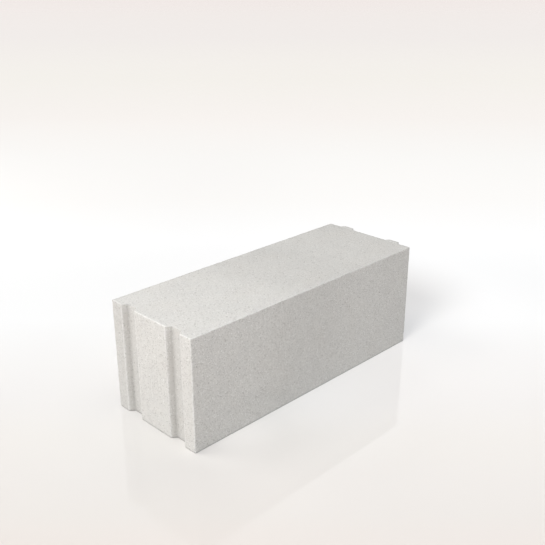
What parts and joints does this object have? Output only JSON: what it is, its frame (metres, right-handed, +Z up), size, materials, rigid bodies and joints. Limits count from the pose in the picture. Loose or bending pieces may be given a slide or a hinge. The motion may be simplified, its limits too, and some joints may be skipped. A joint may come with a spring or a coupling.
{
  "type": "aerated concrete block",
  "caption": "Solid aerated concrete wall block with upright tongues on one end and matching grooves in the other, laid dry end to end.",
  "frame": {"origin": "middle of the bed face, midway between the two end faces, with the tongues left out", "axes": "+X along the block to the end with the tongues, +Y across the block's thickness, +Z up from the bed face to the top face"},
  "size_m": [0.6595, 0.24, 0.24],
  "materials": {
    "aerated_concrete": "matt, finely porous, sawn faces"
  },
  "bodies": {
    "root": {"aerated_block": "aerated_concrete"}
  },
  "joints": []
}
